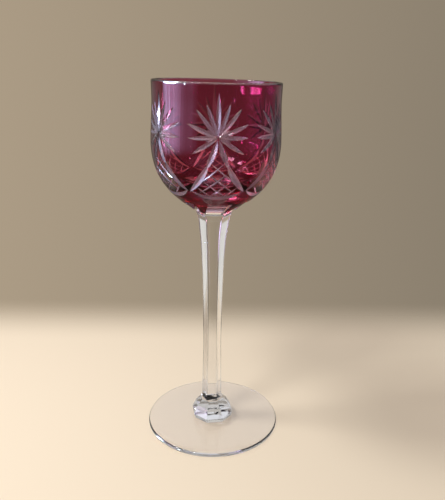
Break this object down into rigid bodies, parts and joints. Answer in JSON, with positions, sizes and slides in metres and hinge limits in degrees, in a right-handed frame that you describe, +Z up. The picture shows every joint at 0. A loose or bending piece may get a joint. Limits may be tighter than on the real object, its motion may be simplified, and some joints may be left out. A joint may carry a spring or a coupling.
{
  "type": "wine glass",
  "caption": "Hock wine glass: ruby-cased bowl cut through to clear glass with stars, lattice and swags, on a tall faceted stem with a knop and a round foot.",
  "frame": {"origin": "on the table, under the middle of the foot", "axes": "+Z up along the glass's axis; the front star of the cut pattern faces -Y"},
  "size_m": [0.078, 0.078, 0.2],
  "materials": {
    "clear_crystal": "polished",
    "ruby_glass": "polished"
  },
  "bodies": {
    "root": {"foot": "clear_crystal", "knop": "clear_crystal", "stem": "clear_crystal", "bowl_lining": "clear_crystal", "ruby_field": "ruby_glass", "ruby_collar": "ruby_glass", "ruby_lattice_1": "ruby_glass", "ruby_lattice_2": "ruby_glass", "ruby_lattice_3": "ruby_glass", "ruby_lattice_4": "ruby_glass", "ruby_lattice_5": "ruby_glass", "ruby_lattice_6": "ruby_glass"}
  },
  "joints": []
}
